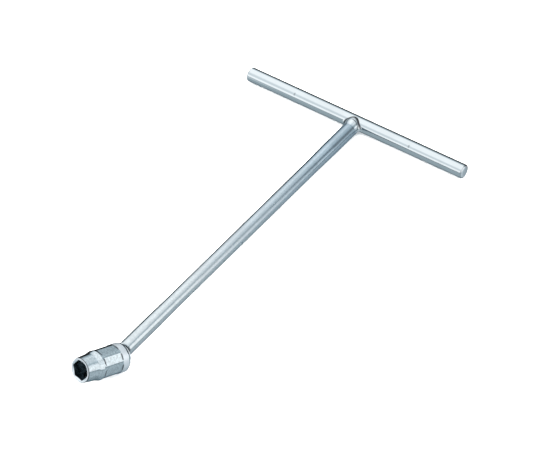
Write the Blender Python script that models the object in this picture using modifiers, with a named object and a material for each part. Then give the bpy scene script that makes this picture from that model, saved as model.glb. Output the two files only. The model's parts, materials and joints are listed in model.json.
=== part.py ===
"""A T-handle socket wrench whose socket swivels on a ball at the end of the shaft.

The tool lies on a surface on the underside of its cross bar and on the collar of its socket.
In the handle's frame the ball's centre is the origin, and the shaft runs from it along +X to the
cross bar, which lies along Y. Two hinge frames at the ball's centre carry the other pieces. The
cross pin turns in the ball about its own axis, and the socket tilts about the line square to the
pin, because the pin's ends slide along two slots in the wall of the ball pocket.
"""
import math

import bmesh
import bpy
from mathutils import Matrix, Vector

MM = 0.001
GAP = 0.3 * MM

# Handle
BAR_LENGTH = 170.0 * MM
BAR_RADIUS = 4.9 * MM
BAR_CHAMFER = 0.7 * MM
SHAFT_LENGTH = 279.4 * MM          # from the ball's centre to the cross bar's axis
SHAFT_RADIUS = 4.75 * MM
SHAFT_FOOT_RADIUS = 5.0 * MM       # beside the socket
SHAFT_HEAD_RADIUS = 5.05 * MM      # beside the cross bar
SHAFT_TIP_RADIUS = 4.0 * MM        # inside the weld
THICK_END = 34.0 * MM
BLEND = 18.0 * MM
TIP_END = 3.6 * MM                 # from the cross bar's axis back to the shaft's end

# Weld around the joint, as distances back from the cross bar's axis
WELD_FRONT = 2.6 * MM
WELD_CROWN = 4.2 * MM
WELD_MIDDLE = 6.0 * MM
WELD_BACK = 7.8 * MM
WELD_RADIUS = 6.2 * MM
WELD_MIDDLE_RADIUS = 5.6 * MM
WELD_TOE_RADIUS = 5.15 * MM
WELD_HALF_HEIGHT = 4.95 * MM       # dressed flush with the bar above and below

# Ball, neck and cross pin
BALL_RADIUS = 6.6 * MM
NECK_RADIUS = 3.05 * MM
NECK_END = 9.2 * MM
SHOULDER = 10.2 * MM
SHOULDER_CHAMFER = 0.4 * MM
PIN_RADIUS = 1.4 * MM
PIN_HALF_LENGTH = 7.5 * MM
PIN_CHAMFER = 0.5 * MM

# Socket, as distances from its mouth
BALL_AT = 30.8 * MM
SOCKET_LENGTH = 37.6 * MM
EDGE_CHAMFER = 0.5 * MM
NOSE_RADIUS = 8.45 * MM
NOSE_END = 9.2 * MM
NOSE_END_RADIUS = 9.05 * MM
STEP_END = 12.7 * MM
COLLAR_RADIUS = 9.95 * MM
FLATS_START = 13.0 * MM
FLATS_END = 29.0 * MM
FLATS_ACROSS = 19.0 * MM
FLAT_COUNT = 8
ROUNDING_START = 33.6 * MM
ROUNDING = 2.4 * MM
LIP_RADIUS = 7.5 * MM
LIP_BORE = 7.0 * MM
HEX_ACROSS = 12.1 * MM
HEX_DEPTH = 11.5 * MM
LEAD_IN_RADIUS = 7.25 * MM
LEAD_IN_DEPTH = 1.0 * MM
RELIEF_RADIUS = 5.7 * MM
RELIEF_DEPTH = 16.0 * MM
WEB_THICKNESS = 1.8 * MM
WEB_HOLE = 1.5 * MM
SPRING_POCKET = 4.9 * MM
BALL_POCKET = BALL_RADIUS + GAP
SLOT_REACH = 7.9 * MM
SLOT_FRONT = 4.0 * MM              # ahead of the ball's centre
SOCKET_ROLL = math.radians(5.0)    # of the hexagon and the flats, from the cross pin's line

# Pieces inside the socket, as distances from the ball's centre
RING_FRONT = 4.0 * MM
RING_THICKNESS = 0.8 * MM
RING_RADIUS = 7.5 * MM
RING_BORE = 5.95 * MM
RING_OPENING = 5.0 * MM
CUP_RADIUS = 4.4 * MM
CUP_BASE = 8.2 * MM
SPIGOT_RADIUS = 2.3 * MM
SPIGOT_END = 9.8 * MM
SPRING_RADIUS = 3.4 * MM
SPRING_WIRE = 0.45 * MM
SPRING_TURNS = 2.75

# How far each hinge is turned from the straight position where the tool lies at rest
PIN_ANGLE = math.radians(15.0)
SLOT_ANGLE = math.radians(-13.9)

STEPS = 48
SMALL_STEPS = 32
ARC_POINTS = 9
SPRING_POINTS = 16                 # for each turn
OVERCUT = 2.0 * MM

PARTS = "flex_socket_wrench"
CUTTERS = "cutters"


def clear_scene():
    for thing in list(bpy.data.objects):
        bpy.data.objects.remove(thing, do_unlink=True)
    for name in (PARTS, CUTTERS):
        group = bpy.data.collections.new(name)
        bpy.context.scene.collection.children.link(group)


def metal(name, colour, roughness):
    material = bpy.data.materials.new(name)
    material.use_nodes = True
    shader = material.node_tree.nodes["Principled BSDF"]
    shader.inputs["Base Color"].default_value = (*colour, 1.0)
    shader.inputs["Metallic"].default_value = 1.0
    shader.inputs["Roughness"].default_value = roughness
    return material


def hinge_frame(name, parent, axis, angle):
    """An empty at its parent's origin, turned about one axis, for pieces to be parented to."""
    empty = bpy.data.objects.new(name, None)
    bpy.data.collections[PARTS].objects.link(empty)
    empty.parent = parent
    empty.rotation_euler["XYZ".index(axis)] = angle
    return empty


def place(name, data, parent, material):
    """Add an object. One with no material is a cutter."""
    thing = bpy.data.objects.new(name, data)
    thing.parent = parent
    if material:
        data.materials.append(material)
        bpy.data.collections[PARTS].objects.link(thing)
    else:
        bpy.data.collections[CUTTERS].objects.link(thing)
        thing.hide_render = True
        thing.display_type = "WIRE"
    return thing


def turned(name, parent, profile, material=None, steps=STEPS, axis="X", closed=False):
    """Turn a profile of (position, radius) points about the frame's X or Y axis.

    The points run towards the negative end of the axis along the outer side. A closed profile
    comes back along the bore and makes a ring.
    """
    mesh = bpy.data.meshes.new(name)
    count = len(profile)
    edges = [(i, i + 1) for i in range(count - 1)]
    if closed:
        edges.append((count - 1, 0))
    mesh.from_pydata([(radius, 0.0, along) for along, radius in profile], edges, [])
    thing = place(name, mesh, parent, material)
    quarter = math.radians(90.0)
    thing.rotation_euler = (0.0, quarter, 0.0) if axis == "X" else (-quarter, 0.0, 0.0)
    screw = thing.modifiers.new("Turn", "SCREW")
    screw.axis = "Z"
    screw.steps = steps
    screw.render_steps = steps
    screw.use_merge_vertices = True
    screw.merge_threshold = 0.00001
    return thing


def cylinder(name, parent, start, end, radius, axis="X", steps=STEPS):
    """A cylindrical cutter."""
    profile = [(end, 0.0), (end, radius), (start, radius), (start, 0.0)]
    return turned(name, parent, profile, steps=steps, axis=axis)


def prism(name, parent, sides, across, start, end, roll):
    """A regular prism along X, with a corner at the given roll from Y, as a cutter."""
    radius = across / 2.0 / math.cos(math.pi / sides)
    solid = bmesh.new()
    bmesh.ops.create_cone(
        solid, cap_ends=True, segments=sides, radius1=radius, radius2=radius, depth=end - start
    )
    mesh = bpy.data.meshes.new(name)
    solid.to_mesh(mesh)
    solid.free()
    lay_along_x = Matrix.Rotation(math.radians(90.0), 4, "Y")
    mesh.transform(Matrix.Rotation(roll, 4, "X") @ lay_along_x)
    thing = place(name, mesh, parent, None)
    thing.location.x = (start + end) / 2.0
    return thing


def box(name, parent, low, high):
    """A box-shaped cutter between two corners."""
    solid = bmesh.new()
    bmesh.ops.create_cube(solid, size=1.0)
    mesh = bpy.data.meshes.new(name)
    solid.to_mesh(mesh)
    solid.free()
    size = Vector(high) - Vector(low)
    mesh.transform(Matrix.Diagonal((*size, 1.0)))
    thing = place(name, mesh, parent, None)
    thing.location = (Vector(low) + Vector(high)) / 2.0
    return thing


def cut(thing, *cutters):
    for cutter in cutters:
        boolean = thing.modifiers.new("Cut " + cutter.name, "BOOLEAN")
        boolean.operation = "DIFFERENCE"
        boolean.solver = "EXACT"
        boolean.object = cutter


def arc(centre, radius, start, end, count=ARC_POINTS):
    """Points of an arc, where centre is (position, radius) and angle 0 looks along the axis."""
    turn = (end - start) / (count - 1)
    angles = [start + i * turn for i in range(count)]
    return [
        (centre[0] + radius * math.cos(a), centre[1] + radius * math.sin(a)) for a in angles
    ]


def make_cross_bar(handle, chrome):
    half = BAR_LENGTH / 2.0
    end_radius = BAR_RADIUS - BAR_CHAMFER
    profile = [
        (half, 0.0),
        (half, end_radius),
        (half - BAR_CHAMFER, BAR_RADIUS),
        (BAR_CHAMFER - half, BAR_RADIUS),
        (-half, end_radius),
        (-half, 0.0),
    ]
    bar = turned("cross_bar", handle, profile, chrome, axis="Y")
    bar.location.x = SHAFT_LENGTH


def bar_clearance(handle):
    """The cross bar and its gap, as a cutter for the pieces that end on it."""
    half = BAR_LENGTH / 4.0
    cutter = cylinder("bar_clearance", handle, -half, half, BAR_RADIUS + GAP, axis="Y")
    cutter.location.x = SHAFT_LENGTH
    return cutter


def make_weld(handle, chrome, bar):
    """A bead around the shaft's end, filleted down to the shaft and saddled on the bar."""
    bore = SHAFT_TIP_RADIUS + GAP
    profile = [
        (SHAFT_LENGTH - WELD_FRONT, WELD_RADIUS - EDGE_CHAMFER),
        (SHAFT_LENGTH - WELD_FRONT - EDGE_CHAMFER, WELD_RADIUS),
        (SHAFT_LENGTH - WELD_CROWN, WELD_RADIUS),
        (SHAFT_LENGTH - WELD_MIDDLE, WELD_MIDDLE_RADIUS),
        (SHAFT_LENGTH - WELD_BACK, WELD_TOE_RADIUS),
        (SHAFT_LENGTH - WELD_BACK, bore),
        (SHAFT_LENGTH - WELD_FRONT, bore),
    ]
    weld = turned("weld_bead", handle, profile, chrome, closed=True)
    back = SHAFT_LENGTH - WELD_BACK - OVERCUT
    front = SHAFT_LENGTH
    side = WELD_RADIUS + OVERCUT
    above = box("above_weld", handle, (back, -side, WELD_HALF_HEIGHT), (front, side, side))
    below = box("below_weld", handle, (back, -side, -side), (front, side, -WELD_HALF_HEIGHT))
    cut(weld, bar, above, below)


def make_shaft(handle, chrome, bar):
    """Shaft, neck and ball in one forging, with the cross pin's hole through the ball."""
    weld_back = SHAFT_LENGTH - WELD_BACK - GAP
    neck_angle = math.asin(NECK_RADIUS / BALL_RADIUS)
    profile = [
        (SHAFT_LENGTH - TIP_END, 0.0),
        (SHAFT_LENGTH - TIP_END, SHAFT_TIP_RADIUS),
        (weld_back, SHAFT_TIP_RADIUS),
        (weld_back, SHAFT_HEAD_RADIUS),
        (SHAFT_LENGTH - THICK_END, SHAFT_HEAD_RADIUS),
        (SHAFT_LENGTH - THICK_END - BLEND, SHAFT_RADIUS),
        (SHOULDER + THICK_END + BLEND, SHAFT_RADIUS),
        (SHOULDER + THICK_END, SHAFT_FOOT_RADIUS),
        (SHOULDER + SHOULDER_CHAMFER, SHAFT_FOOT_RADIUS),
        (SHOULDER, SHAFT_FOOT_RADIUS - SHOULDER_CHAMFER),
        (NECK_END, NECK_RADIUS),
    ]
    profile += arc((0.0, 0.0), BALL_RADIUS, neck_angle, math.pi, 2 * ARC_POINTS)[:-1]
    profile.append((-BALL_RADIUS, 0.0))
    shaft = turned("shaft", handle, profile, chrome)
    reach = BALL_RADIUS + OVERCUT
    hole = PIN_RADIUS + GAP
    pin_hole = cylinder("pin_hole", handle, -reach, reach, hole, axis="Y", steps=SMALL_STEPS)
    cut(shaft, bar, pin_hole)


def make_cross_pin(pin_frame, steel):
    end_radius = PIN_RADIUS - PIN_CHAMFER
    profile = [
        (PIN_HALF_LENGTH, 0.0),
        (PIN_HALF_LENGTH, end_radius),
        (PIN_HALF_LENGTH - PIN_CHAMFER, PIN_RADIUS),
        (PIN_CHAMFER - PIN_HALF_LENGTH, PIN_RADIUS),
        (-PIN_HALF_LENGTH, end_radius),
        (-PIN_HALF_LENGTH, 0.0),
    ]
    turned("cross_pin", pin_frame, profile, steel, steps=SMALL_STEPS, axis="Y")


def socket_outline():
    """The socket's outer profile from the rear lip to the mouth, from the ball's centre."""
    corner = (ROUNDING_START, COLLAR_RADIUS - ROUNDING)
    from_mouth = [
        (SOCKET_LENGTH, LIP_RADIUS - EDGE_CHAMFER / 2.0),
        (SOCKET_LENGTH - EDGE_CHAMFER / 2.0, LIP_RADIUS),
        (ROUNDING_START + ROUNDING, LIP_RADIUS),
        *arc(corner, ROUNDING, 0.0, math.pi / 2.0),
        (STEP_END, COLLAR_RADIUS),
        (NOSE_END, NOSE_END_RADIUS),
        (EDGE_CHAMFER, NOSE_RADIUS),
        (0.0, NOSE_RADIUS - EDGE_CHAMFER),
    ]
    return [(along - BALL_AT, radius) for along, radius in from_mouth]


def socket_cavity():
    """The turned cavity: ball pocket with its ring groove, spring pocket, web hole and relief."""
    rear = SOCKET_LENGTH - BALL_AT
    groove_gap = GAP / 1.2
    groove_radius = RING_RADIUS + groove_gap
    pocket_front = math.pi - math.asin(SPRING_POCKET / BALL_POCKET)
    spring_floor = RELIEF_DEPTH + WEB_THICKNESS - BALL_AT
    return [
        (rear + OVERCUT, 0.0),
        (rear + OVERCUT, LIP_BORE),
        (RING_FRONT + RING_THICKNESS + groove_gap, LIP_BORE),
        (RING_FRONT + RING_THICKNESS + groove_gap, groove_radius),
        (RING_FRONT - groove_gap, groove_radius),
        (RING_FRONT - groove_gap, BALL_POCKET),
        *arc((0.0, 0.0), BALL_POCKET, math.pi / 2.0, pocket_front),
        (spring_floor, SPRING_POCKET),
        (spring_floor, WEB_HOLE),
        (RELIEF_DEPTH - BALL_AT, WEB_HOLE),
        (RELIEF_DEPTH - BALL_AT, RELIEF_RADIUS),
        (HEX_DEPTH / 2.0 - BALL_AT, RELIEF_RADIUS),
        (HEX_DEPTH / 2.0 - BALL_AT, 0.0),
    ]


def make_socket(socket_frame, chrome):
    mouth = -BALL_AT
    outline = socket_outline()
    profile = [(outline[0][0], 0.0), *outline, (outline[-1][0], 0.0)]
    socket = turned("socket_body", socket_frame, profile, chrome)
    flats = cylinder(
        "flats_sleeve", socket_frame, FLATS_START + mouth, FLATS_END + mouth, COLLAR_RADIUS + OVERCUT
    )
    half_flat = math.pi / FLAT_COUNT
    core = prism(
        "flats_core",
        socket_frame,
        FLAT_COUNT,
        FLATS_ACROSS,
        FLATS_START + mouth - OVERCUT,
        FLATS_END + mouth + OVERCUT,
        SOCKET_ROLL + half_flat,
    )
    cut(flats, core)
    cavity = turned("cavity", socket_frame, socket_cavity())
    hexagon = prism(
        "hexagon", socket_frame, 6, HEX_ACROSS, mouth - OVERCUT, mouth + HEX_DEPTH, SOCKET_ROLL
    )
    slope = (LEAD_IN_RADIUS - RELIEF_RADIUS) / LEAD_IN_DEPTH
    lead_in = turned(
        "lead_in",
        socket_frame,
        [
            (mouth + LEAD_IN_DEPTH, 0.0),
            (mouth + LEAD_IN_DEPTH, RELIEF_RADIUS),
            (mouth - OVERCUT, LEAD_IN_RADIUS + slope * OVERCUT),
            (mouth - OVERCUT, 0.0),
        ],
    )
    half_width = PIN_RADIUS + GAP
    slots = box(
        "slots",
        socket_frame,
        (-SLOT_FRONT, -SLOT_REACH, -half_width),
        (SOCKET_LENGTH - BALL_AT + OVERCUT, SLOT_REACH, half_width),
    )
    cut(socket, flats, cavity, hexagon, lead_in, slots)


def make_retaining_ring(socket_frame, steel):
    """A flat ring with an opening, sprung into the groove behind the ball."""
    rear = RING_FRONT + RING_THICKNESS
    profile = [
        (rear, RING_BORE),
        (rear, RING_RADIUS),
        (RING_FRONT, RING_RADIUS),
        (RING_FRONT, RING_BORE),
    ]
    ring = turned("retaining_ring", socket_frame, profile, steel, closed=True)
    half = RING_OPENING / 2.0
    opening = box(
        "ring_opening",
        socket_frame,
        (RING_FRONT - OVERCUT, -half, -RING_RADIUS - OVERCUT),
        (rear + OVERCUT, half, 0.0),
    )
    cut(ring, opening)


def make_spring_cup(socket_frame, steel):
    """A cup with a hollow face for the ball and a spigot for the spring."""
    hollow = BALL_RADIUS + GAP
    rim_angle = math.pi - math.asin(CUP_RADIUS / hollow)
    face = arc((0.0, 0.0), hollow, math.pi, rim_angle)
    profile = [
        (-hollow, 0.0),
        *face[1:],
        (-CUP_BASE, CUP_RADIUS),
        (-CUP_BASE, SPIGOT_RADIUS),
        (-SPIGOT_END, SPIGOT_RADIUS),
        (-SPIGOT_END, 0.0),
    ]
    turned("spring_cup", socket_frame, profile, steel, steps=SMALL_STEPS)


def make_spring(socket_frame, steel):
    """A coil spring between the web and the cup."""
    margin = SPRING_WIRE + GAP
    rear = -CUP_BASE - margin
    front = RELIEF_DEPTH + WEB_THICKNESS - BALL_AT + margin
    count = round(SPRING_TURNS * SPRING_POINTS) + 1
    curve = bpy.data.curves.new("friction_spring", "CURVE")
    curve.dimensions = "3D"
    curve.bevel_depth = SPRING_WIRE
    curve.bevel_resolution = 2
    curve.use_fill_caps = True
    wire = curve.splines.new("POLY")
    wire.points.add(count - 1)
    for i, point in enumerate(wire.points):
        along = i / (count - 1)
        turn = 2.0 * math.pi * SPRING_TURNS * along
        x = front + (rear - front) * along
        y = SPRING_RADIUS * math.cos(turn)
        z = SPRING_RADIUS * math.sin(turn)
        point.co = (x, y, z, 1.0)
    place("friction_spring", curve, socket_frame, steel)


def resting_tilt():
    """The shaft's slope with the cross bar and the socket's collar both on the surface."""
    tilt = 0.0
    for _ in range(5):
        slope = math.asin(math.sin(PIN_ANGLE + tilt) * math.cos(SLOT_ANGLE))
        ball_height = max(
            radius * math.cos(slope) + along * math.sin(slope)
            for along, radius in socket_outline()
        )
        tilt = math.asin((ball_height - BAR_RADIUS) / SHAFT_LENGTH)
    return tilt


def stand_on_origin(handle):
    """Move the tool so that the middle of its box's underside is the world's origin."""
    bpy.context.view_layer.update()
    graph = bpy.context.evaluated_depsgraph_get()
    corners = []
    for thing in bpy.data.collections[PARTS].objects:
        if thing.type == "EMPTY":
            continue
        solid = thing.evaluated_get(graph)
        mesh = solid.to_mesh()
        corners += [solid.matrix_world @ vertex.co for vertex in mesh.vertices]
        solid.to_mesh_clear()
    low = [min(corner[axis] for corner in corners) for axis in range(3)]
    high = [max(corner[axis] for corner in corners) for axis in range(3)]
    handle.location.x = -(low[0] + high[0]) / 2.0
    handle.location.y = -(low[1] + high[1]) / 2.0
    handle.location.z = -low[2]
    bpy.context.view_layer.update()


def shade(thing):
    """Smooth the round faces and keep the edges crisp."""
    if thing.type == "MESH":
        thing.data.shade_smooth()
        thing.data.set_sharp_from_angle(angle=math.radians(30.0))


def main():
    clear_scene()
    chrome = metal("chrome_plate", (0.78, 0.80, 0.82), 0.12)
    weld_chrome = metal("plated_weld", (0.74, 0.77, 0.80), 0.2)
    hard_steel = metal("hardened_steel", (0.45, 0.45, 0.46), 0.3)
    spring_steel = metal("spring_steel", (0.35, 0.35, 0.37), 0.35)
    handle = hinge_frame("handle_frame", None, "Y", resting_tilt())
    pin_frame = hinge_frame("pin_frame", handle, "Y", PIN_ANGLE)
    socket_frame = hinge_frame("socket_frame", pin_frame, "Z", SLOT_ANGLE)
    bar = bar_clearance(handle)
    make_cross_bar(handle, chrome)
    make_weld(handle, weld_chrome, bar)
    make_shaft(handle, chrome, bar)
    make_cross_pin(pin_frame, hard_steel)
    make_socket(socket_frame, chrome)
    make_retaining_ring(socket_frame, spring_steel)
    make_spring_cup(socket_frame, hard_steel)
    make_spring(socket_frame, spring_steel)
    stand_on_origin(handle)
    for thing in bpy.data.collections[PARTS].objects:
        shade(thing)


main()
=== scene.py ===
"""A chromed T-handle wrench with a flexing hexagon socket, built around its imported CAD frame.

The CAD pieces are stood for by finer meshes in the same places: turned pieces with rounded edges, a
socket whose flats, hexagon and slots are shaped in its skin, and a weld that flows from the shaft
into the cross bar. Lengths are metres. The handle's frame has its origin at the ball's centre and
its X along the shaft towards the cross bar.
"""
import json
import math
from collections import namedtuple

import bmesh
import bpy
import numpy as np
from mathutils import Matrix, Vector


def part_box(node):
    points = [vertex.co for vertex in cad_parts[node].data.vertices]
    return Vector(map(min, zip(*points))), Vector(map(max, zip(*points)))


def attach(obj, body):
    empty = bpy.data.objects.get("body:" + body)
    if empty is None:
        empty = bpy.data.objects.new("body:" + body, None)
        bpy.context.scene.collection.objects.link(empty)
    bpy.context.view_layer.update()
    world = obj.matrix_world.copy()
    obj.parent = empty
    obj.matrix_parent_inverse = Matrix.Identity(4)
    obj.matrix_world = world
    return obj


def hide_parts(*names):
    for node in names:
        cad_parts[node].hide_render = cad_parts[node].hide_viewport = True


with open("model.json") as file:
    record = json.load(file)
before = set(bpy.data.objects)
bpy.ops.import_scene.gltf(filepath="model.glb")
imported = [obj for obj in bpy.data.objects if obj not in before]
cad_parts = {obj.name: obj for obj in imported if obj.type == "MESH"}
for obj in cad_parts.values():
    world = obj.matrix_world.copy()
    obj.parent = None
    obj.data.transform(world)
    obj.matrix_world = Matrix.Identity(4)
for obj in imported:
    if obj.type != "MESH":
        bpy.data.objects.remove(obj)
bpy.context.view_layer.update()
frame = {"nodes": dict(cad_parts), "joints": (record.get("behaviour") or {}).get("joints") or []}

MM = 0.001
POLE = 0.02 * MM                     # radius of the smallest ring, which a fan closes

# Cross bar
BAR_LENGTH = 170.0 * MM
BAR_RADIUS = 4.9 * MM
BAR_CORNER = 1.15 * MM
DOME_FLAT = 2.4 * MM                 # radius of the flat middle of the bar's ends
DOME_REACH = 2.25 * MM
DOME_DROP = 1.1 * MM
DOME_TURN = math.radians(60.0)

# Shaft
SHAFT_RADIUS = 4.75 * MM
SHAFT_FOOT_RADIUS = 5.0 * MM         # beside the socket
SHAFT_HEAD_RADIUS = 5.05 * MM        # beside the cross bar
SHAFT_TIP_RADIUS = 3.4 * MM          # inside the cross bar
THICK_END = 34.0 * MM
BLEND = 18.0 * MM
BLEND_ROUNDING = 40.0 * MM
SHOULDER_CHAMFER = 0.45 * MM

# Ball, neck and cross pin, as distances from the ball's centre
BALL_RADIUS = 6.6 * MM
NECK_RADIUS = 3.05 * MM
NECK_START = 6.1 * MM
NECK_END = 9.2 * MM
SHOULDER = 10.2 * MM
PIN_RADIUS = 1.4 * MM
PIN_HALF_LENGTH = 7.5 * MM
PIN_CHAMFER = 0.45 * MM
PIN_HOLE_REACH = 9.0 * MM
PIN_HOLE_PLAY = 0.2 * MM

# Outside of the socket, as distances from its mouth
BALL_AT = 30.8 * MM
SOCKET_LENGTH = 37.6 * MM
NOSE_RADIUS = 8.31 * MM
NOSE_END = 9.2 * MM
NOSE_END_RADIUS = 8.98 * MM
STEP_END = 12.7 * MM
COLLAR_RADIUS = 9.86 * MM
FLATS_START = 13.0 * MM
FLATS_END = 29.0 * MM
FLATS_ACROSS = 19.0 * MM
FLAT_COUNT = 8
FLAT_RAMP = 1.1 * MM
FLAT_RAMP_SLOPE = math.radians(22.0)
ROUNDING_START = 33.6 * MM
ROUNDING = 2.4 * MM
LIP_RADIUS = 7.5 * MM
SOCKET_ROLL = math.radians(5.0)      # of the flats and the hexagon, from the pin's line

# Inside of the socket, from the mouth to the rear: lead-in, hexagon, round relief, web with a
# hole, pocket of the spring, pocket of the ball with its ring's groove
LEAD_IN_RADIUS = 7.3 * MM
LEAD_IN_SLOPE = 2.4
LEAD_IN_START = 0.2 * MM
HEX_ACROSS = 12.1 * MM
HEX_DEPTH = 11.5 * MM
HEX_CORNER = 0.12 * MM
RELIEF_RADIUS = 5.7 * MM
RELIEF_END = 16.0 * MM
WEB_END = 17.8 * MM
WEB_HOLE = 1.5 * MM
SPRING_POCKET = 4.9 * MM
INNER_CHAMFER = 0.2 * MM
BALL_POCKET = BALL_RADIUS + 0.3 * MM
GROOVE_START = 3.75 * MM             # behind the ball's centre
GROOVE_END = 5.05 * MM
GROOVE_RADIUS = 7.75 * MM
LIP_BORE = 7.0 * MM
SLOT_REACH = 7.9 * MM
SLOT_FRONT = 4.0 * MM                # ahead of the ball's centre
SLOT_PLAY = 0.25 * MM

# Retaining ring: the middle of its section, and half the section's sides
RING_AT = 4.4 * MM
RING_RADIUS = 6.72 * MM
RING_HALF_WIDTH = 0.75 * MM
RING_HALF_THICKNESS = 0.38 * MM
RING_EDGE = 0.15 * MM
RING_HALF_OPENING = 2.6 * MM

# How far each hinge is turned from the straight position at rest
PIN_ANGLE = math.radians(15.0)
SLOT_ANGLE = math.radians(-13.9)

# The weld, in millimetres in the bar's frame
SUNK = 0.03                          # below the bar and the shaft, where the weld runs out
SWELL_START = -10.0
SWELL_LENGTH = 6.0
CROWN_END = -2.75                    # where the crown's round end starts
CROWN_LEAN = 0.35                    # of the crown towards the bar's left end
WELD_RIPPLE_AT = 0.85                # above the bar
WELD_RIPPLE_WIDTH = 0.13
WELD_RIPPLE_HEIGHT = 0.09
WELD_START = -10.5
WELD_HALF_WIDTH = 8.6
WELD_UNDERSIDE = -4.87
WELD_FLOOR_GAP = 0.03                # so the weld stays above the surface the tool lies on
WELD_BOX = ((-11.0, 5.4), (-9.0, 9.0), (-5.3, 5.9))
WELD_PITCH = 0.17

# Colours and finishes
CHROME = (0.62, 0.67, 0.692)
# painted highlight: lighter than CHROME, so the weld's crown looks lit from overhead
WELD_PAINTED_LIGHT_CHROME = (0.72, 0.765, 0.785)
SOCKET_CHROME = (0.60, 0.675, 0.71)
GROUND_STEEL = (0.45, 0.45, 0.46)
SPRING_STEEL = (0.33, 0.33, 0.35)
# painted shade: the shaft's chrome goes darker and bluer towards the bar, and the weld's beside the
# shaft
SHADED = (0.50, 0.595, 0.665)
SATIN = (0.73, 0.775, 0.81)
SATIN_ROUGHNESS = 0.46
SATIN_METALLIC = 0.955
# painted shade: the dark colour of the darkened masks (ball, weld crease, bar rims, socket), also
# used for the bar's real nicks
SHADE_AND_PIT_DARK = (0.05, 0.052, 0.06)
SHADE_AND_PIT_ROUGHNESS = 0.4
EDGE_TINT = (0.34, 0.37, 0.39)       # dims the metal where it is seen at a slant
SPECK_TONE = 0.45
MOTTLE_TONE = 0.4
BUMP_DEPTH = 0.05 * MM
NICK_AT = 3.4 * MM                   # up and forward from the bar's axis
NICK_ALONG = 45.0 * MM               # to either side of NICK_MIDDLE
NICK_MIDDLE = 2.0 * MM

# The light tent's cards, by direction from its middle in degrees: lowest and highest azimuth,
# lowest and highest rise, softness of the two pairs of edges, level
TENT_RADIUS = 0.9
TENT_STRENGTH = 1.5
CARDS = (
    (-122.0, -44.7, -3.0, 36.0, 5.8, 5.0, 1.42),      # right
    (-112.0, -54.0, 31.0, 60.0, 6.0, 6.0, 1.2),       # right, high
    (-72.0, -30.0, -7.0, 7.0, 5.0, 4.0, 0.5),         # front strip
    (-58.0, -12.0, -66.0, -33.0, 6.0, 5.0, 0.66),     # front, low
    (-44.0, -36.0, -7.0, 7.0, 2.0, 4.0, 0.85),        # front glint
    (-12.0, 24.0, 22.0, 38.0, 8.0, 5.0, 0.55),        # back fill
    (62.0, 112.0, -6.0, 50.0, 6.0, 8.0, 0.5),         # far side
    (112.0, 179.0, -2.0, 31.0, 8.0, 5.0, 1.4),        # left
    (116.0, 146.0, -28.0, 4.0, 6.0, 5.0, 1.35),       # left, low
    (104.0, 179.0, 20.0, 60.0, 8.0, 8.0, 0.93),       # left, high
    (-181.0, -160.0, -2.0, 60.0, 8.0, 8.0, 0.8),      # left, round the back
)
TABLE_CARD = (-130.0, -40.0, -50.0, -8.0, 8.0, 6.0, 0.14)
SHADOW_CARD = (-30.0, 60.0, -31.0, 8.0, 5.0, 6.0, 1.0)
BELOW_CARD = (-20.0, 100.0, -80.0, -40.0, 10.0, 5.0, 1.0)
SHADOW_DEPTH = 0.88
BELOW_DEPTH = 0.12

# Floor, light and camera
FLOOR_HALF_SIDE = 40.0
WORLD_STRENGTH = 3.2
CAMERA_PLACE = (-2.88456, -1.90904, 3.25048)
CAMERA_AIM = (0.03798, -0.00829, 0.005)
CAMERA_ROLL = 1.13
CAMERA_LENS = 489.18
CAMERA_SENSOR = 36.0


# ---------------------------------------------------------------- frames

def rotation(angle, axis):
    return Matrix.Rotation(angle, 4, axis)


hinges = {joint["name"]: joint for joint in frame["joints"]}
ball = Vector(hinges["pin_pivot"]["pos_m"])
bar_low, bar_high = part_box("cross_bar")
bar_centre = (bar_low + bar_high) / 2.0
reach = bar_centre - ball
SHAFT_LENGTH = reach.length
shaft_slope = math.atan2(-reach.z, reach.x)
handle_frame = Matrix.Translation(ball) @ rotation(shaft_slope, "Y")
pin_frame = handle_frame @ rotation(PIN_ANGLE, "Y")
socket_frame = pin_frame @ rotation(SLOT_ANGLE, "Z")
bar_frame = handle_frame @ Matrix.Translation((SHAFT_LENGTH, 0.0, 0.0))
along_bar = bar_frame @ rotation(math.pi / 2.0, "Z")


# ---------------------------------------------------------------- shapes

def fillet(corners, points=6, support=0.35 * MM):
    """Round the corners of a line. Each corner is (position, radius, rounding)."""
    line = []
    spots = [np.array(corner[:2], float) for corner in corners]
    for i, corner in enumerate(corners):
        here = spots[i]
        rounding = corner[2] if len(corner) > 2 else 0.0
        if rounding <= 0.0 or i in (0, len(corners) - 1):
            line.append(here)
            continue
        back = spots[i - 1] - here
        ahead = spots[i + 1] - here
        back_length, ahead_length = np.linalg.norm(back), np.linalg.norm(ahead)
        back, ahead = back / back_length, ahead / ahead_length
        half = math.acos(max(-1.0, min(1.0, float(back @ ahead)))) / 2.0
        trim = min(rounding / math.tan(half), 0.48 * back_length, 0.48 * ahead_length)
        radius = trim * math.tan(half)
        bisector = back + ahead
        bisector /= np.linalg.norm(bisector)
        centre = here + bisector * radius / math.sin(half)
        first, last = here + back * trim - centre, here + ahead * trim - centre
        if back_length - trim > 2.0 * support:
            line.append(here + back * (trim + support))
        sweep = math.pi - 2.0 * half
        for step in range(points + 1):
            share = step / points
            a = math.sin((1.0 - share) * sweep) / math.sin(sweep)
            b = math.sin(share * sweep) / math.sin(sweep)
            line.append(centre + a * first + b * last)
        if ahead_length - trim > 2.0 * support:
            line.append(here + ahead * (trim + support))
    return line


def mirrored(side, count):
    """The line of a piece with two equal ends, from one side whose last point is the middle."""
    end, radius = side[-2]
    stretch = [(end - 2.0 * end * i / count, radius) for i in range(1, count)]
    return side[:-1] + stretch + [(-along, radius) for along, radius in side[-2::-1]]


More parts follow.
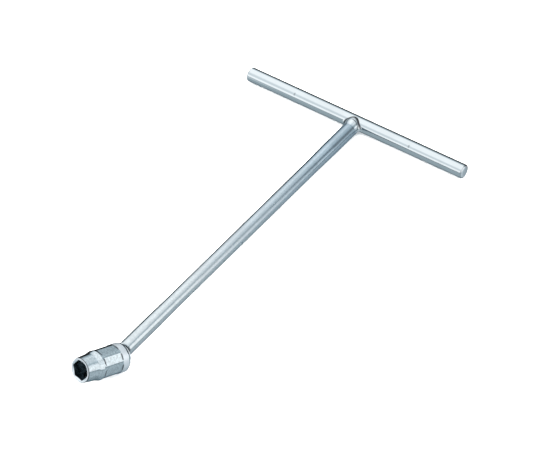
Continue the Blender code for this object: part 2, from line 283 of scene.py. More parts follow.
def turn(line, segments, axis="X"):
    """Rings of points about an axis for a line of (position, radius)."""
    angles = np.linspace(0.0, 2.0 * math.pi, segments, endpoint=False)
    rings = []
    for along, radius in line:
        flat = np.full(segments, along)
        across, up = radius * np.cos(angles), radius * np.sin(angles)
        rings.append(np.stack((flat, across, up) if axis == "X" else (up, flat, across), 1))
    return rings


def arc(radius, start, end, count):
    """Points of an arc about the origin."""
    return [(radius * math.cos(a), radius * math.sin(a)) for a in np.linspace(start, end, count)]


def ring_faces(ring_count, around, looped=False):
    """The faces between rings of points that follow each other."""
    faces = []
    for i in range(ring_count if looped else ring_count - 1):
        low, high = i * around, (i + 1) % ring_count * around
        for j in range(around):
            k = (j + 1) % around
            faces.append((low + j, low + k, high + k, high + j))
    return faces


def solid_mesh(name, vertices, faces, matrix):
    """A mesh whose faces look outwards, moved by the matrix."""
    mesh = bpy.data.meshes.new(name)
    mesh.from_pydata(vertices, [], faces)
    work = bmesh.new()
    work.from_mesh(mesh)
    bmesh.ops.recalc_face_normals(work, faces=work.faces)
    work.transform(matrix)
    work.to_mesh(mesh)
    work.free()
    return mesh


def add_object(name, mesh):
    thing = bpy.data.objects.new(name, mesh)
    bpy.context.scene.collection.objects.link(thing)
    return thing


def add_piece(name, vertices, faces, material, matrix, body, node):
    mesh = solid_mesh(name, vertices, faces, matrix)
    mesh.shade_smooth()
    mesh.materials.append(material)
    piece = add_object(name, mesh)
    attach(piece, body)
    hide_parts(node)
    return piece


def skin(name, rings, material, matrix, body, node, looped=False):
    """A closed piece through rings of points. Unless looped, each end is closed with a fan."""
    rings = np.asarray(rings, float)
    ring_count, around = rings.shape[:2]
    vertices = rings.reshape(-1, 3).tolist()
    faces = ring_faces(ring_count, around, looped)
    for ring in () if looped else (0, ring_count - 1):
        centre = len(vertices)
        vertices.append(rings[ring].mean(axis=0).tolist())
        start = ring * around
        for j in range(around):
            pair = (start + j, start + (j + 1) % around)
            faces.append((centre, *(pair if ring else pair[::-1])))
    return add_piece(name, vertices, faces, material, matrix, body, node)


def cut_away(piece, rings, matrix):
    """Cut a closed form of rings out of a piece for good."""
    rings = np.asarray(rings, float)
    ring_count, around = rings.shape[:2]
    faces = ring_faces(ring_count, around)
    faces.append(tuple(range(around))[::-1])
    faces.append(tuple((ring_count - 1) * around + j for j in range(around)))
    mesh = solid_mesh("tool", rings.reshape(-1, 3).tolist(), faces, matrix)
    tool = add_object("tool", mesh)
    boolean = piece.modifiers.new("cut", "BOOLEAN")
    boolean.operation = "DIFFERENCE"
    boolean.solver = "EXACT"
    boolean.object = tool
    bpy.context.view_layer.update()
    graph = bpy.context.evaluated_depsgraph_get()
    result = bpy.data.meshes.new_from_object(piece.evaluated_get(graph))
    piece.modifiers.clear()
    old, piece.data = piece.data, result
    bpy.data.meshes.remove(old)
    bpy.data.objects.remove(tool)
    bpy.data.meshes.remove(mesh)
    piece.data.set_sharp_from_angle(angle=math.radians(38.0))


# ---------------------------------------------------------------- materials

Spot = namedtuple("Spot", "x y z radius")


class Nodes:
    """A short way to write a material's nodes."""

    def __init__(self, name):
        self.material = bpy.data.materials.new(name)
        self.material.use_nodes = True
        self.tree = self.material.node_tree
        self.shader = self.tree.nodes["Principled BSDF"]

    def add(self, kind, settings=None, **inputs):
        node = self.tree.nodes.new("ShaderNode" + kind)
        for key, value in (settings or {}).items():
            setattr(node, key, value)
        for key, value in inputs.items():
            self.put(node, key.replace("_", " "), value)
        return node

    def put(self, node, socket, value):
        target = node.inputs[int(socket) if socket.isdigit() else socket]
        if isinstance(value, bpy.types.NodeSocket):
            self.tree.links.new(value, target)
        else:
            target.default_value = value

    def math(self, operation, first, second=0.0, third=0.0):
        node = self.add("Math", {"operation": operation})
        for i, value in enumerate((first, second, third)):
            self.put(node, str(i), value)
        return node.outputs[0]

    def largest(self, first, *others):
        for other in others:
            first = self.math("MAXIMUM", first, other)
        return first

    def length(self, first, *others):
        """The length of a vector given by its parts."""
        total = self.math("MULTIPLY", first, first)
        for other in others:
            total = self.math("MULTIPLY_ADD", other, other, total)
        return self.math("SQRT", total)

    def noise(self, vector, scale, detail=2.0, roughness=0.5):
        node = self.add(
            "TexNoise", Vector=vector, Scale=scale, Detail=detail, Roughness=roughness
        )
        return node.outputs["Fac"]

    def span(self, value, low, high, to_low, to_high):
        node = self.add(
            "MapRange",
            {"clamp": True},
            Value=value,
            From_Min=low,
            From_Max=high,
            To_Min=to_low,
            To_Max=to_high,
        )
        return node.outputs["Result"]

    def band(self, value, low, high, soft, level=1.0):
        """The level between low and high, falling to 0 just inside them."""
        return self.math(
            "MULTIPLY",
            self.span(value, low, low + soft, 0.0, level),
            self.span(value, high - soft, high, 1.0, 0.0),
        )

    def blend(self, share, first, second):
        """A colour between two, each an output or three numbers."""
        node = self.add("Mix", {"data_type": "RGBA"})
        self.put(node, "0", share)
        for socket, value in (("6", first), ("7", second)):
            fixed = not isinstance(value, bpy.types.NodeSocket)
            self.put(node, socket, (*value, 1.0) if fixed else value)
        return node.outputs[2]


def metal(
    name, place, colour, rough, grain, bump=0.5, scratches=0.05, stain=0.06, pebble=0.0,
    mottle=0.0, shade=None, blur=None, satin=None, dark=None,
):
    """Plated or ground metal with grain along one axis, fine scratches, stains and ripples.

    The coordinates are those of the frame given as place, so they stay with the piece. shade,
    blur, satin and dark are functions of the nodes and of a Spot in that frame: how far the
    colour goes towards SHADED, a painted shade, what is added to the roughness, and masks of the
    dull parts and of the darkened ones, which are painted shade apart from the bar's nicks.
    """
    n = Nodes(name)
    even = n.add("TexCoord").outputs["Object"]
    mapping = n.add("Mapping", {"vector_type": "TEXTURE"}, Vector=even)
    mapping.inputs["Location"].default_value = place.to_translation()
    mapping.inputs["Rotation"].default_value = place.to_euler()
    local = mapping.outputs["Vector"]
    drawn = n.add("Mapping", Vector=local, Scale=grain).outputs["Vector"]
    x, y, z = n.add("SeparateXYZ", Vector=local).outputs
    at = Spot(x, y, z, n.length(y, z))

    cloud = n.noise(local, scale=90.0, detail=3.0)
    fine = n.noise(drawn, scale=900.0, detail=3.0, roughness=0.6)
    grit = n.noise(local, scale=700.0, detail=3.0, roughness=0.6)
    waves = n.noise(local, scale=55.0, detail=1.0)
    marks = n.noise(drawn, scale=260.0, detail=2.0, roughness=0.75)
    scratch = n.span(marks, 0.60, 0.72, 0.0, 1.0)
    speck = n.span(n.noise(local, scale=1500.0, detail=1.0), 0.70, 0.78, 0.0, 1.0)

    tint = colour
    if shade:
        tint = n.blend(shade(n, at), colour, SHADED)
    tint = n.blend(n.span(cloud, 0.35, 0.75, 0.0, stain), tint, (0.0, 0.0, 0.0))
    tint = n.blend(n.math("MULTIPLY", speck, 0.2), tint, [c * SPECK_TONE for c in colour])
    if mottle:
        patches = n.noise(local, scale=720.0, detail=2.0, roughness=0.65)
        patches = n.span(patches, 0.38, 0.66, 0.0, mottle)
        tint = n.blend(patches, tint, [c * MOTTLE_TONE for c in colour])
    worn = n.math("MULTIPLY_ADD", fine, rough * 0.5, rough * 0.75)
    worn = n.math("MULTIPLY_ADD", scratch, scratches, worn)
    worn = n.math("MULTIPLY_ADD", cloud, rough * 0.4, worn)
    if blur:
        worn = n.math("ADD", worn, blur(n, at))
    if satin:
        dull = satin(n, at)
        tint = n.blend(dull, tint, SATIN)
        worn = n.largest(worn, n.math("MULTIPLY", dull, SATIN_ROUGHNESS))
        n.put(n.shader, "Metallic", n.math("MULTIPLY_ADD", dull, SATIN_METALLIC - 1.0, 1.0))
    else:
        n.shader.inputs["Metallic"].default_value = 1.0
    if dark:
        deep = dark(n, at)
        tint = n.blend(deep, tint, SHADE_AND_PIT_DARK)
        worn = n.largest(worn, n.math("MULTIPLY", deep, SHADE_AND_PIT_ROUGHNESS))
    n.put(n.shader, "Base Color", tint)
    n.put(n.shader, "Roughness", worn)
    n.shader.inputs["Specular Tint"].default_value = (*EDGE_TINT, 1.0)

    relief = n.math("MULTIPLY_ADD", fine, 0.12, waves)
    relief = n.math("MULTIPLY_ADD", grit, pebble, relief)
    relief = n.math("MULTIPLY_ADD", scratch, -0.05, relief)
    relief = n.math("MULTIPLY_ADD", speck, -0.1, relief)
    node = n.add("Bump", Strength=bump, Distance=BUMP_DEPTH, Height=relief)
    n.put(n.shader, "Normal", node.outputs["Normal"])
    return n.material


# Shading masks. In the bar's own material X runs along the bar, and in the weld's the shaft
# comes in along X.

# Painted shade: the shaft goes darker and bluer towards the bar, fading back to chrome in its last
# few millimetres.
def towards_bar(n, at):
    darker = n.span(at.x, 85.0 * MM, 245.0 * MM, 0.0, 1.0)
    weld = n.span(at.x, SHAFT_LENGTH - 9.9 * MM, SHAFT_LENGTH - 5.9 * MM, 1.0, 0.0)
    return n.math("MULTIPLY", darker, weld)


# Painted shade: the weld carries on the shaft's darker, bluer shade where the two meet.
def towards_shaft(n, at):
    return n.span(at.x, -10.5 * MM, -6.5 * MM, 1.0, 0.0)


def matt_middle(n, at):
    return n.band(at.x, 30.0 * MM, 240.0 * MM, 60.0 * MM, 0.12)


def ball_part(n, at):
    """The neck and the ball, darkened as painted shade in the gap behind the socket's lip."""
    return n.span(at.x, 9.9 * MM, 10.15 * MM, 0.85, 0.0)


def weld_crease(n, at):
    """Painted shade in the crease between the weld's crown and the bar, and along one ripple."""
    rise = n.math("SUBTRACT", n.length(at.x, at.z), BAR_RADIUS)
    past_end = n.math("MAXIMUM", n.math("SUBTRACT", at.x, CROWN_END * MM), 0.0)
    across = n.math("MULTIPLY_ADD", at.y, 0.91, -0.3 * MM)
    crown = n.math("SUBTRACT", n.length(past_end, across, at.z), 5.35 * MM)
    away = n.largest(rise, crown)
    width = n.span(at.y, 1.0 * MM, -1.5 * MM, 0.85 * MM, 1.15 * MM)
    crease = n.span(away, n.math("MULTIPLY", width, 0.65), width, 0.94, 0.0)
    ripple = n.math(
        "MULTIPLY",
        n.band(rise, 1.5 * MM, 2.15 * MM, 0.15 * MM, 0.8),
        n.span(at.y, 1.5 * MM, -0.5 * MM, 0.0, 1.0),
    )
    low = n.span(at.y, -1.0 * MM, 1.0 * MM, 0.5 * MM, -3.5 * MM)
    above = n.span(at.z, low, n.math("ADD", low, 2.0 * MM), 0.0, 1.0)
    return n.math("MULTIPLY", n.largest(crease, ripple), above)


def bar_end_faces(n, at):
    half = BAR_LENGTH / 2.0
    return n.span(n.math("ABSOLUTE", at.x), half - 0.62 * MM, half - 0.5 * MM, 0.0, 0.6)


def bar_end_rims(n, at):
    """The turned rims, darkened a little as painted shade for their chamfers' dark reflection, and
    a nick on each half of the bar.
    """
    half = BAR_LENGTH / 2.0
    turned = n.band(
        n.math("ABSOLUTE", at.x), half - 1.2 * MM, half - 0.5 * MM, 0.12 * MM, 0.3
    )
    from_middle = n.math("ABSOLUTE", n.math("SUBTRACT", at.x, NICK_MIDDLE))
    along = n.math("MULTIPLY", n.math("SUBTRACT", from_middle, NICK_ALONG), math.sqrt(3.0))
    up = n.math("SUBTRACT", at.z, NICK_AT)
    forward = n.math("SUBTRACT", at.y, NICK_AT)
    nick = n.span(n.length(along, up, forward), 0.9 * MM, 1.3 * MM, 0.38, 0.0)
    return n.largest(nick, turned)


def socket_satin(n, at):
    """The blasted collar, the lip behind it and the face of the mouth."""
    depth = n.math("ADD", at.x, BALL_AT)
    collar = n.band(depth, FLATS_END, ROUNDING_START + 0.1 * MM, 0.2 * MM)
    rounding_end = ROUNDING_START + ROUNDING
    lip = n.span(depth, rounding_end - 0.05 * MM, rounding_end + 0.1 * MM, 0.0, 1.0)
    mouth = n.math(
        "MULTIPLY",
        n.span(depth, 0.5 * MM, 0.3 * MM, 0.0, 1.0),
        n.span(at.radius, 7.8 * MM, 7.9 * MM, 1.0, 0.0),
    )
    return n.largest(collar, lip, mouth)


def socket_dark(n, at):
    """Painted shade: the inside below the lead-in, dark corners at both ends of the flats and a
    dark line round the mouth's rim.
    """
    depth = n.math("ADD", at.x, BALL_AT)
    lead = n.math("DIVIDE", n.math("SUBTRACT", LEAD_IN_RADIUS, at.radius), LEAD_IN_SLOPE)
    bore = n.math(
        "MULTIPLY",
        n.span(at.radius, 7.05 * MM, 7.15 * MM, 1.0, 0.0),
        n.span(n.math("SUBTRACT", depth, lead), 0.04 * MM, 0.12 * MM, 0.0, 0.3),
    )
    ramp_end = FLATS_START + FLAT_RAMP
    front = n.math(
        "MULTIPLY",
        n.span(depth, FLATS_START - 0.05 * MM, FLATS_START + 0.1 * MM, 0.0, 0.95),
        n.span(depth, ramp_end, ramp_end + 0.7 * MM, 1.0, 0.0),
    )
    back = n.math(
        "MULTIPLY",
        n.span(depth, FLATS_END - 1.1 * MM, FLATS_END - 0.3 * MM, 0.0, 0.9),
        n.span(depth, FLATS_END, FLATS_END + 0.05 * MM, 1.0, 0.0),
    )
    below_collar = n.span(
        at.radius, COLLAR_RADIUS - 0.12 * MM, COLLAR_RADIUS - 0.03 * MM, 1.0, 0.0
    )
    corner = n.math("MULTIPLY", n.largest(front, back), below_collar)
    rim = n.math(
        "MULTIPLY",
        n.span(depth, 0.5 * MM, 0.6 * MM, 0.75, 0.0),
        n.span(at.radius, 7.9 * MM, 8.0 * MM, 0.0, 1.0),
    )
    return n.largest(bore, corner, rim)


bar_chrome = metal(
    "bar_chrome", along_bar, CHROME, 0.08, (0.06, 1.0, 1.0), pebble=0.2, satin=bar_end_faces,
    dark=bar_end_rims,
)
shaft_chrome = metal(
    "shaft_chrome", handle_frame, CHROME, 0.13, (0.12, 1.0, 1.0), pebble=0.5, mottle=0.14,
    shade=towards_bar, blur=matt_middle, dark=ball_part,
)
weld_chrome = metal(
    "weld_chrome", bar_frame, WELD_PAINTED_LIGHT_CHROME, 0.11, (0.5, 1.0, 1.0), scratches=0.04, pebble=0.4,
    mottle=0.14, shade=towards_shaft, dark=weld_crease,
)
socket_chrome = metal(
    "socket_chrome", socket_frame, SOCKET_CHROME, 0.10, (1.0, 0.3, 0.3), bump=0.6,
    scratches=0.06, pebble=0.9, mottle=0.36, satin=socket_satin, dark=socket_dark,
)
ground_steel = metal(
    "ground_steel", pin_frame, GROUND_STEEL, 0.28, (1.0, 0.05, 1.0), bump=0.6, scratches=0.1,
    stain=0.2,
)
spring_steel = metal(
    "spring_steel", socket_frame, SPRING_STEEL, 0.35, (1.0, 1.0, 1.0), bump=0.6, scratches=0.1,
    stain=0.3,
)


# ---------------------------------------------------------------- handle

def make_cross_bar():
    half = BAR_LENGTH / 2.0
    dome = [
        (half - DOME_DROP * (1.0 - math.cos(a)), DOME_FLAT + DOME_REACH * math.sin(a))
        for a in np.linspace(0.0, DOME_TURN, 9)
    ]
    side = fillet([
        (half, POLE),
        *dome,
        (half - BAR_CORNER, BAR_RADIUS, 0.4 * MM),
        (0.0, BAR_RADIUS),
    ])
    skin(
        "cross_bar_chromed", turn(mirrored(side, 60), 96, "Y"), bar_chrome, bar_frame,
        "handle", "cross_bar",
    )


def make_shaft():
    """Shaft, neck and ball, with the cross pin's hole cut through the ball."""
    head = SHAFT_LENGTH - 2.2 * MM
    thick = SHAFT_LENGTH - THICK_END
    foot = SHOULDER + THICK_END
    corners = [
        (head, POLE),
        (head, SHAFT_TIP_RADIUS, 0.3 * MM),
        (SHAFT_LENGTH - 5.5 * MM, SHAFT_HEAD_RADIUS - 0.3 * MM, 0.5 * MM),
        (SHAFT_LENGTH - 9.3 * MM, SHAFT_HEAD_RADIUS, 3.0 * MM),
        (thick, SHAFT_HEAD_RADIUS, BLEND_ROUNDING),
        (thick - BLEND, SHAFT_RADIUS, BLEND_ROUNDING),
        (foot + BLEND, SHAFT_RADIUS, BLEND_ROUNDING),
        (foot, SHAFT_FOOT_RADIUS, BLEND_ROUNDING),
        (SHOULDER + SHOULDER_CHAMFER, SHAFT_FOOT_RADIUS, 0.25 * MM),
        (SHOULDER, SHAFT_FOOT_RADIUS - SHOULDER_CHAMFER, 0.2 * MM),
        (NECK_END, NECK_RADIUS, 0.5 * MM),
        (NECK_START, NECK_RADIUS),
    ]
    neck_angle = math.asin((NECK_RADIUS - 0.02 * MM) / BALL_RADIUS)
    line = fillet(corners, 8) + arc(BALL_RADIUS, neck_angle, math.pi - 0.01, 34)
    shaft = skin(
        "shaft_chromed", turn(line, 96), shaft_chrome, handle_frame, "handle", "shaft",
    )
    hole = [(end, PIN_RADIUS + PIN_HOLE_PLAY) for end in (-PIN_HOLE_REACH, PIN_HOLE_REACH)]
    cut_away(shaft, turn(hole, 32, "Y"), handle_frame)


def blend_min(first, second, width):
    """The lower of two distances, rounded where they are closer than width."""
    share = np.clip(1.0 - np.abs(first - second) / width, 0.0, 1.0)
    return np.minimum(first, second) - share * share * width / 4.0


def joint_height(x, y, z):
    """The distance from the welded joint's skin, in the bar's frame and in millimetres."""
    bar_radius, head_radius = BAR_RADIUS / MM, SHAFT_HEAD_RADIUS / MM
    from_bar = np.hypot(x, z) - bar_radius
    bar = from_bar + SUNK

    # The crown: the shaft's end, swollen more above than below
    swell = np.clip((x - SWELL_START) / SWELL_LENGTH, 0.0, 1.0)
    swell = swell * swell * (3.0 - 2.0 * swell)
    upper = np.clip((z + 1.0) / 3.0, 0.0, 1.0)
    wide = head_radius - SUNK + swell * (0.85 * upper + 0.3 * (1.0 - upper))
    tall = head_radius - SUNK + swell * (0.33 * upper - 0.2 * (1.0 - upper))
    past_end = np.maximum(x - CROWN_END, 0.0)
    across = (y - CROWN_LEAN * swell * upper) * tall / wide
    crown = np.sqrt(past_end**2 + across**2 + z**2) - tall
    ripple = np.exp(-(((from_bar - WELD_RIPPLE_AT) / WELD_RIPPLE_WIDTH) ** 2))
    crown = crown + WELD_RIPPLE_HEIGHT * ripple * (x > -5.0) * upper

    # It flows into the bar more at the sides than at the top
    level = np.clip(np.abs(z) / bar_radius, 0.0, 1.0)
    joint = blend_min(bar, crown, 0.2 + 2.4 * (1.0 - level**2) ** 2.5)
    ends = np.maximum(WELD_START - x, np.abs(y) - WELD_HALF_WIDTH)
    return np.maximum(joint, np.maximum(ends, WELD_UNDERSIDE - z))


def surface_net(field):
    """The surface where a gridded field passes zero: points in steps of the grid, and faces."""
    inside = field < 0.0
    shape = np.array(field.shape) - 1
    total = np.zeros((*shape, 3))
    count = np.zeros(shape)
    corners = [(i, j, k) for i in (0, 1) for j in (0, 1) for k in (0, 1)]
    for start in corners:
        for axis in range(3):
            if start[axis]:
                continue
            end = list(start)
            end[axis] = 1
            low = field[tuple(slice(o, o + n) for o, n in zip(start, shape))]
            high = field[tuple(slice(o, o + n) for o, n in zip(end, shape))]
            crossed = (low < 0.0) != (high < 0.0)
            share = np.where(crossed, low / np.where(crossed, low - high, 1.0), 0.0)
            for other in range(3):
                offset = start[other] + (share if other == axis else 0.0)
                total[..., other] += np.where(crossed, offset, 0.0)
            count += crossed
    used = count > 0
    number = np.full(used.shape, -1)
    number[used] = np.arange(used.sum())
    points = np.argwhere(used) + total[used] / count[used][:, None]

    faces = []
    for axis in range(3):
        first, second = (axis + 1) % 3, (axis + 2) % 3
        low = [slice(1, -1)] * 3
        high = [slice(1, -1)] * 3
        low[axis], high[axis] = slice(0, -1), slice(1, None)
        crossed = np.argwhere(inside[tuple(low)] != inside[tuple(high)])
        crossed += np.array([0 if i == axis else 1 for i in range(3)])
        ring = []
        for back_first, back_second in ((1, 1), (0, 1), (0, 0), (1, 0)):
            cell = crossed.copy()
            cell[:, first] -= back_first
            cell[:, second] -= back_second
            ring.append(number[tuple(cell.T)])
        quads = np.stack(ring, 1)
        start = tuple(crossed.T)
        quads[~inside[start]] = quads[~inside[start]][:, ::-1]
        faces.append(quads)
    return points, np.concatenate(faces)


def draw_onto_joint(points, rounds=4, step=0.01):
    """Move points onto the welded joint's skin, along the slope of the distance from it."""
    for _ in range(rounds):
        here = joint_height(*points.T)
        slope = np.stack([
            joint_height(*(points + offset).T) - joint_height(*(points - offset).T)
            for offset in np.eye(3) * step
        ], 1) / (2.0 * step)
        steepness = np.maximum((slope * slope).sum(1), 0.25)
        points = points - 0.8 * np.clip(here / steepness, -0.1, 0.1)[:, None] * slope
    return points


def make_weld():
    """The weld as one closed skin, found on a grid and then drawn onto the joint's surface."""
    axes = [np.arange(low, high, WELD_PITCH) for low, high in WELD_BOX]
    points, faces = surface_net(joint_height(*np.meshgrid(*axes, indexing="ij")))
    points = points * WELD_PITCH + np.array([axis[0] for axis in axes])
    points = draw_onto_joint(points)
    underside = WELD_FLOOR_GAP - bar_centre.z / MM + points[:, 0] * math.sin(shaft_slope)
    points[:, 2] = np.maximum(points[:, 2], underside / math.cos(shaft_slope))
    add_piece(
        "weld_bead_chromed", (points * MM).tolist(), faces.tolist(), weld_chrome, bar_frame,
        "handle", "weld_bead",
    )


# ---------------------------------------------------------------- socket

def from_side(angles, count, first_corner=0.0):
    """The angle from the middle of the nearest of the sides of a regular prism."""
    step = 2.0 * math.pi / count
    return (angles - SOCKET_ROLL - first_corner * step) % step - step / 2.0


def socket_outside(angles):
    """Rings of (position, radii) from the rear lip over the outside and into the mouth."""
    rounding = [
        (ROUNDING_START + x, LIP_RADIUS + r * (COLLAR_RADIUS - LIP_RADIUS) / ROUNDING)
        for x, r in arc(ROUNDING, 0.0, math.pi / 2.0, 13)
    ]
    outline = fillet(
        [
            (SOCKET_LENGTH, LIP_BORE + 0.02 * MM),
            (SOCKET_LENGTH, LIP_RADIUS, 0.18 * MM),
            *rounding,
            (FLATS_END + 0.4 * MM, COLLAR_RADIUS),
            (FLATS_END + 0.08 * MM, COLLAR_RADIUS),
            (FLATS_END, COLLAR_RADIUS),
            (FLATS_END - 0.3 * MM, COLLAR_RADIUS),
            *[(FLATS_START + FLAT_RAMP * (2.0 - i / 8), COLLAR_RADIUS) for i in range(17)],
            (STEP_END, COLLAR_RADIUS, 0.3 * MM),
            (NOSE_END, NOSE_END_RADIUS, 0.6 * MM),
            (0.0, NOSE_RADIUS, 0.5 * MM),
            (0.0, LEAD_IN_RADIUS, 0.1 * MM),
            (LEAD_IN_START, LEAD_IN_RADIUS - LEAD_IN_START * LEAD_IN_SLOPE),
        ],
        7,
    )
    flat = FLATS_ACROSS / 2.0 / np.cos(from_side(angles, FLAT_COUNT, -0.5))
    ramp_end = FLATS_START + FLAT_RAMP
    rings = []
    for along, radius in outline:
        radii = np.full(len(angles), radius)
        if FLATS_START <= along <= FLATS_END:
            ramp = max(ramp_end - along, 0.0) * math.tan(FLAT_RAMP_SLOPE)
            radii = np.minimum(radii, flat + ramp)
        rings.append((along, radii))
    return rings


def socket_inside(angles):
    """Rings of (position, radii) from the lead-in through the hexagon to the rear lip."""
    hexagon = HEX_ACROSS / 2.0
    sides = np.minimum(
        hexagon / np.cos(from_side(angles, 6)), hexagon / math.cos(math.pi / 6.0) - HEX_CORNER
    )
    depths = [LEAD_IN_START + 0.05 * MM * i for i in range(9)]
    depths += [depth * MM for depth in (1.6, 3.0, 6.0, 9.0, 11.2)] + [HEX_DEPTH]
    rings = [
        (along, np.maximum(sides, LEAD_IN_RADIUS - along * LEAD_IN_SLOPE)) for along in depths
    ]

    edge = INNER_CHAMFER
    rear = SOCKET_LENGTH - BALL_AT
    pocket_start = math.pi - math.asin(SPRING_POCKET / BALL_POCKET)
    line = [
        (HEX_DEPTH, RELIEF_RADIUS),
        (HEX_DEPTH + 1.5 * MM, RELIEF_RADIUS),
        (RELIEF_END - edge, RELIEF_RADIUS),
        (RELIEF_END, RELIEF_RADIUS - edge),
        (RELIEF_END, WEB_HOLE + edge),
        (RELIEF_END + edge, WEB_HOLE),
        (WEB_END - edge, WEB_HOLE),
        (WEB_END, WEB_HOLE + edge),
        (WEB_END, SPRING_POCKET - edge),
        (WEB_END + edge, SPRING_POCKET),
        (WEB_END + 4.2 * MM, SPRING_POCKET),
        *[(BALL_AT + x, r) for x, r in arc(BALL_POCKET, pocket_start, math.pi / 2.0, 16)],
        (BALL_AT + GROOVE_START, BALL_POCKET),
        (BALL_AT + GROOVE_START, GROOVE_RADIUS),
        (BALL_AT + GROOVE_END, GROOVE_RADIUS),
        (BALL_AT + GROOVE_END, LIP_BORE),
        (BALL_AT + rear - 0.35 * MM, LIP_BORE),
        (BALL_AT + rear - 0.1 * MM, LIP_BORE + 0.08 * MM),
    ]
    return rings + [(along, np.full(len(angles), radius)) for along, radius in line]


def make_socket():
    """The socket's skin, looped from the rear lip over the outside and back through the bore."""
    angles = np.linspace(0.0, 2.0 * math.pi, 288, endpoint=False)
    points = []
    for along, radii in socket_outside(angles) + socket_inside(angles):
        place = np.full(len(angles), along - BALL_AT)
        points.append(np.stack((place, radii * np.cos(angles), radii * np.sin(angles)), 1))
    socket = skin(
        "socket_chromed", points, socket_chrome, socket_frame, "socket", "socket_body",
        looped=True,
    )
    half = PIN_RADIUS + SLOT_PLAY
    rear = SOCKET_LENGTH - BALL_AT + 1.0 * MM
    slot_box = [
        [(x, -SLOT_REACH, -half), (x, SLOT_REACH, -half), (x, SLOT_REACH, half),
         (x, -SLOT_REACH, half)]
        for x in (-SLOT_FRONT, rear)
    ]
    cut_away(socket, slot_box, socket_frame)


def make_cross_pin():
    side = fillet([
        (PIN_HALF_LENGTH, POLE),
        (PIN_HALF_LENGTH, PIN_RADIUS - PIN_CHAMFER, 0.2 * MM),
        (PIN_HALF_LENGTH - PIN_CHAMFER, PIN_RADIUS, 0.3 * MM),
        (0.0, PIN_RADIUS),
    ], 5)
    skin(
        "cross_pin_ground", turn(mirrored(side, 10), 40, "Y"), ground_steel, pin_frame, "pin",
        "cross_pin",
    )


def make_retaining_ring():
    """A flat ring with rounded edges and an opening below."""
    gap = RING_HALF_OPENING / RING_RADIUS
    section = []
    for side_u, side_v, start in ((1, 1, 0.0), (-1, 1, 0.5), (-1, -1, 1.0), (1, -1, 1.5)):
        for step in (0.0, 0.25, 0.5):
            a = math.pi * (start + step)
            section.append((
                side_u * (RING_HALF_WIDTH - RING_EDGE) + RING_EDGE * math.cos(a),
                side_v * (RING_HALF_THICKNESS - RING_EDGE) + RING_EDGE * math.sin(a),
            ))
    rings = []
    for angle in np.linspace(gap - math.pi / 2.0, 1.5 * math.pi - gap, 90):
        across, up = math.cos(angle), math.sin(angle)
        rings.append([
            (RING_AT + v, (RING_RADIUS + u) * across, (RING_RADIUS + u) * up)
            for u, v in section
        ])
    skin(
        "retaining_ring_sprung", rings, spring_steel, socket_frame, "socket",
        "retaining_ring",
    )


make_cross_bar()
make_shaft()
make_weld()
make_socket()
make_cross_pin()
make_retaining_ring()

# The cup and the spring keep their CAD shape, out of sight
for hidden, material in (("spring_cup", ground_steel), ("friction_spring", spring_steel)):
    for material_slot in frame["nodes"][hidden].material_slots:
        material_slot.material = material


# ---------------------------------------------------------------- studio

def stage_mesh(name, mesh, material):
    mesh.materials.append(material)
    thing = add_object(name, mesh)
    return thing


def make_floor():
    n = Nodes("paper_floor")
    fibre = n.noise(n.add("TexCoord").outputs["Object"], scale=300.0, detail=3.0)
    n.put(n.shader, "Base Color", n.blend(fibre, (0.90,) * 3, (0.93,) * 3))
    n.put(n.shader, "Roughness", 0.9)
    n.put(n.shader, "Specular IOR Level", 0.1)
    side = FLOOR_HALF_SIDE
    mesh = bpy.data.meshes.new("floor")
    corners = [(-side, -side, 0.0), (side, -side, 0.0), (side, side, 0.0), (-side, side, 0.0)]
    mesh.from_pydata(corners, [], [(0, 1, 2, 3)])
    floor = stage_mesh("floor", mesh, n.material)
    floor.visible_glossy = False


def tent_level(n):
    """The tent's brightness: an overhead light and cards above a grey table, by direction."""
    unit = n.add("VectorMath", {"operation": "NORMALIZE"})
    n.put(unit, "0", n.add("TexCoord").outputs["Object"])
    x, y, z = n.add("SeparateXYZ", Vector=unit.outputs[0]).outputs
    azimuth = n.math("MULTIPLY", n.math("ARCTAN2", y, x), 180.0 / math.pi)
    rise = n.math("MULTIPLY", n.math("ARCSINE", z), 180.0 / math.pi)

    def window(value, low, high, soft):
        """1 between low and high, with soft edges on either side of them."""
        return n.band(value, low - soft, high + soft, 2.0 * soft)

    def card(low_azimuth, high_azimuth, low_rise, high_rise, soft_azimuth, soft_rise, level):
        shape = n.math(
            "MULTIPLY",
            window(azimuth, low_azimuth, high_azimuth, soft_azimuth),
            window(rise, low_rise, high_rise, soft_rise),
        )
        return n.math("MULTIPLY", shape, level)

    table = n.math("ADD", n.span(rise, -4.0, -10.0, 0.0, 0.46), card(*TABLE_CARD))
    overhead = n.span(rise, 30.0, 62.0, 0.25, 1.38)
    slanted = n.math("MULTIPLY_ADD", azimuth, 0.6, rise)
    far_side = n.math(
        "MULTIPLY", window(azimuth, -5.0, 105.0, 8.0), n.span(slanted, 27.0, 59.0, 0.08, 1.38)
    )
    front_fill = n.math(
        "MULTIPLY", window(azimuth, -29.0, -6.0, 4.0), n.span(rise, 32.0, 45.0, 0.0, 1.0)
    )
    level = n.largest(
        table, overhead, far_side, front_fill, *[card(*numbers) for numbers in CARDS]
    )
    for shade, depth in ((SHADOW_CARD, SHADOW_DEPTH), (BELOW_CARD, BELOW_DEPTH)):
        left = n.math("MULTIPLY_ADD", card(*shade), -depth, 1.0)
        level = n.math("MULTIPLY", level, left)
    return level


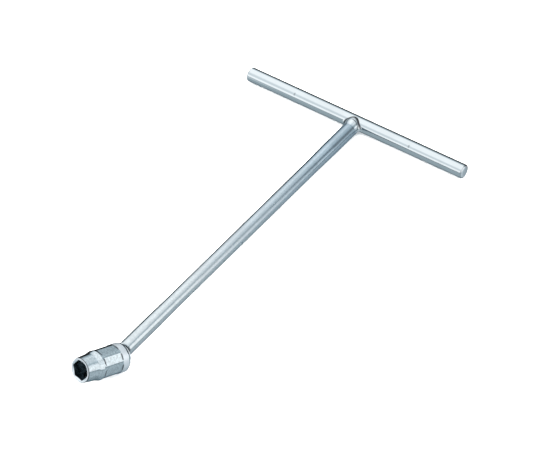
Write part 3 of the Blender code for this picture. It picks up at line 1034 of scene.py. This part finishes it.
def make_tent():
    """A light tent around the tool, seen only in its reflections."""
    n = Nodes("tent_light")
    n.tree.nodes.clear()
    level = tent_level(n)
    tone = n.add("ValToRGB")
    ramp = tone.color_ramp
    tones = (
        (0.0, (0.0, 0.0, 0.0)),
        (0.15, (0.15, 0.16, 0.165)),
        (0.44, (0.43, 0.515, 0.56)),
        (0.8, (0.80, 0.88, 0.93)),
        (1.3, (1.31, 1.33, 1.35)),
        (TENT_STRENGTH, (TENT_STRENGTH,) * 3),
    )
    while len(ramp.elements) < len(tones):
        ramp.elements.new(0.5)
    for element, (position, colour) in zip(ramp.elements, tones):
        element.position = position / TENT_STRENGTH
        element.color = (*[c / TENT_STRENGTH for c in colour], 1.0)
    n.put(tone, "Fac", n.math("DIVIDE", level, TENT_STRENGTH))
    glow = n.add("Emission", Color=tone.outputs["Color"], Strength=TENT_STRENGTH)
    n.add("OutputMaterial", Surface=glow.outputs[0])
    n.material.cycles.emission_sampling = "NONE"

    work = bmesh.new()
    bmesh.ops.create_icosphere(work, subdivisions=5, radius=TENT_RADIUS)
    mesh = bpy.data.meshes.new("light_tent")
    work.to_mesh(mesh)
    work.free()
    tent = stage_mesh("light_tent", mesh, n.material)
    tent.visible_camera = False
    tent.visible_diffuse = False
    tent.visible_shadow = False
    tent.visible_transmission = False


def make_light(name, place, size, power):
    data = bpy.data.lights.new(name, "AREA")
    data.shape = "SQUARE"
    data.size = size
    data.energy = power
    light = add_object(name, data)
    light.location = place
    light.rotation_euler = (-Vector(place)).to_track_quat("-Z", "Y").to_euler()
    light.visible_glossy = False


def make_world():
    world = bpy.data.worlds.new("pale_studio")
    bpy.context.scene.world = world
    world.use_nodes = True
    background = world.node_tree.nodes["Background"]
    background.inputs["Color"].default_value = (1.0, 1.0, 1.0, 1.0)
    background.inputs["Strength"].default_value = WORLD_STRENGTH


def make_camera():
    data = bpy.data.cameras.new("camera")
    data.sensor_width = CAMERA_SENSOR
    data.lens = CAMERA_LENS
    data.clip_end = 100.0
    camera = add_object("camera", data)
    place, aim = Vector(CAMERA_PLACE), Vector(CAMERA_AIM)
    look = (aim - place).to_track_quat("-Z", "Y").to_matrix().to_4x4()
    turned = look @ rotation(math.radians(CAMERA_ROLL), "Z")
    camera.matrix_world = Matrix.Translation(place) @ turned
    bpy.context.scene.camera = camera


make_floor()
make_tent()
make_light("soft_top", place=(-0.6, 0.6, 2.2), size=1.8, power=14.0)
make_world()
make_camera()
bpy.context.scene.view_settings.view_transform = "Standard"
